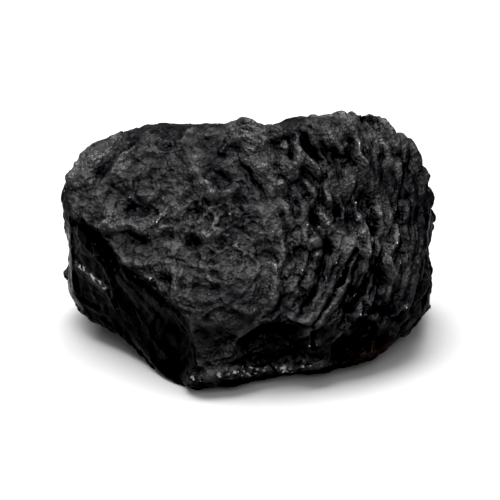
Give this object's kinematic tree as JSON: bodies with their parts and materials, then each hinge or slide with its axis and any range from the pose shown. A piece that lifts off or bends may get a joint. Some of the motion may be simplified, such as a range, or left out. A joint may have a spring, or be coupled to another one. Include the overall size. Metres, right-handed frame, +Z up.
{
  "type": "tektite",
  "caption": "Small chip of black natural glass with an etched, grooved and pitted skin and a broad broken slope.",
  "frame": {"origin": "on the surface the stone lies on, under the middle of the stone's box", "axes": "+X along the stone's long way, +Z up, -Y towards the foot of the broad broken slope"},
  "size_m": [0.038, 0.029, 0.0228],
  "materials": {
    "black_glass": "satin"
  },
  "bodies": {
    "root": {"stone": "black_glass"}
  },
  "joints": []
}
